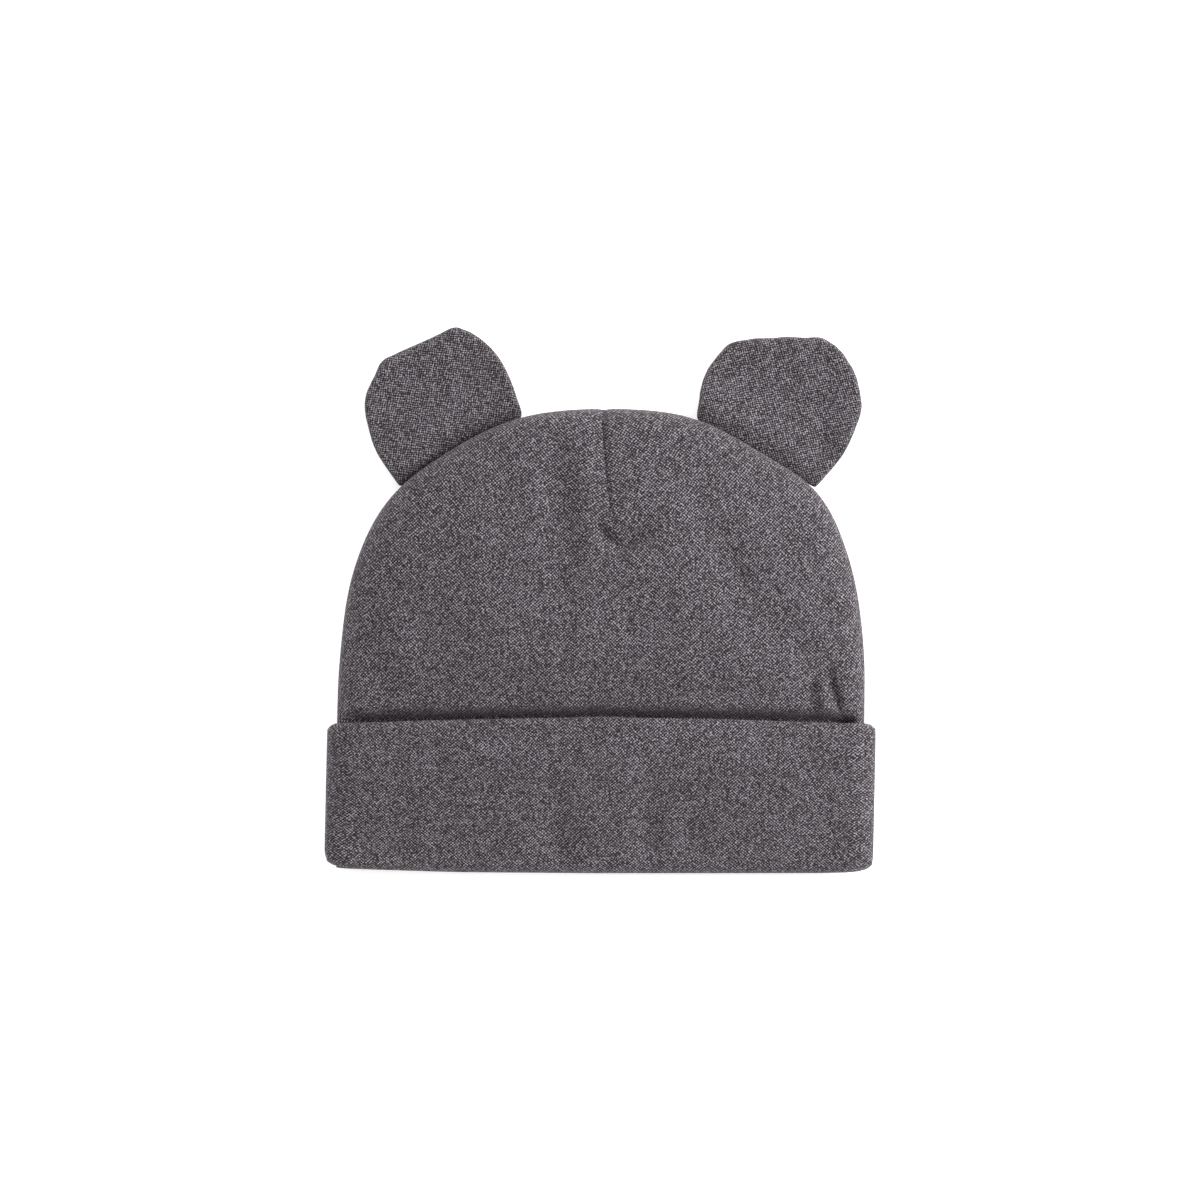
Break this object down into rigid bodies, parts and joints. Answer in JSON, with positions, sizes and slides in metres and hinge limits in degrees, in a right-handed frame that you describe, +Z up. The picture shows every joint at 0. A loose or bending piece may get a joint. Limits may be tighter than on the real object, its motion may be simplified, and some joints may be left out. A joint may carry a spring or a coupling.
{
  "type": "baby hat with ears",
  "caption": "Soft knitted baby hat with a domed crown, a dart down its front, a turned-up cuff and flat rounded ears sewn into its seam, lying flat.",
  "frame": {"origin": "on the flat surface the hat lies on, under the middle of its bounding box", "axes": "+X across the hat, +Y from the mouth to the top of the crown, +Z up from the surface, out of the hat's front"},
  "size_m": [0.1912, 0.188, 0.0271],
  "materials": {
    "jersey": "grey melange knitted jersey, matt and slightly fuzzy"
  },
  "bodies": {
    "root": {"crown_front": "jersey", "crown_back": "jersey", "cuff": "jersey", "ear_left": "jersey", "ear_right": "jersey"}
  },
  "joints": []
}
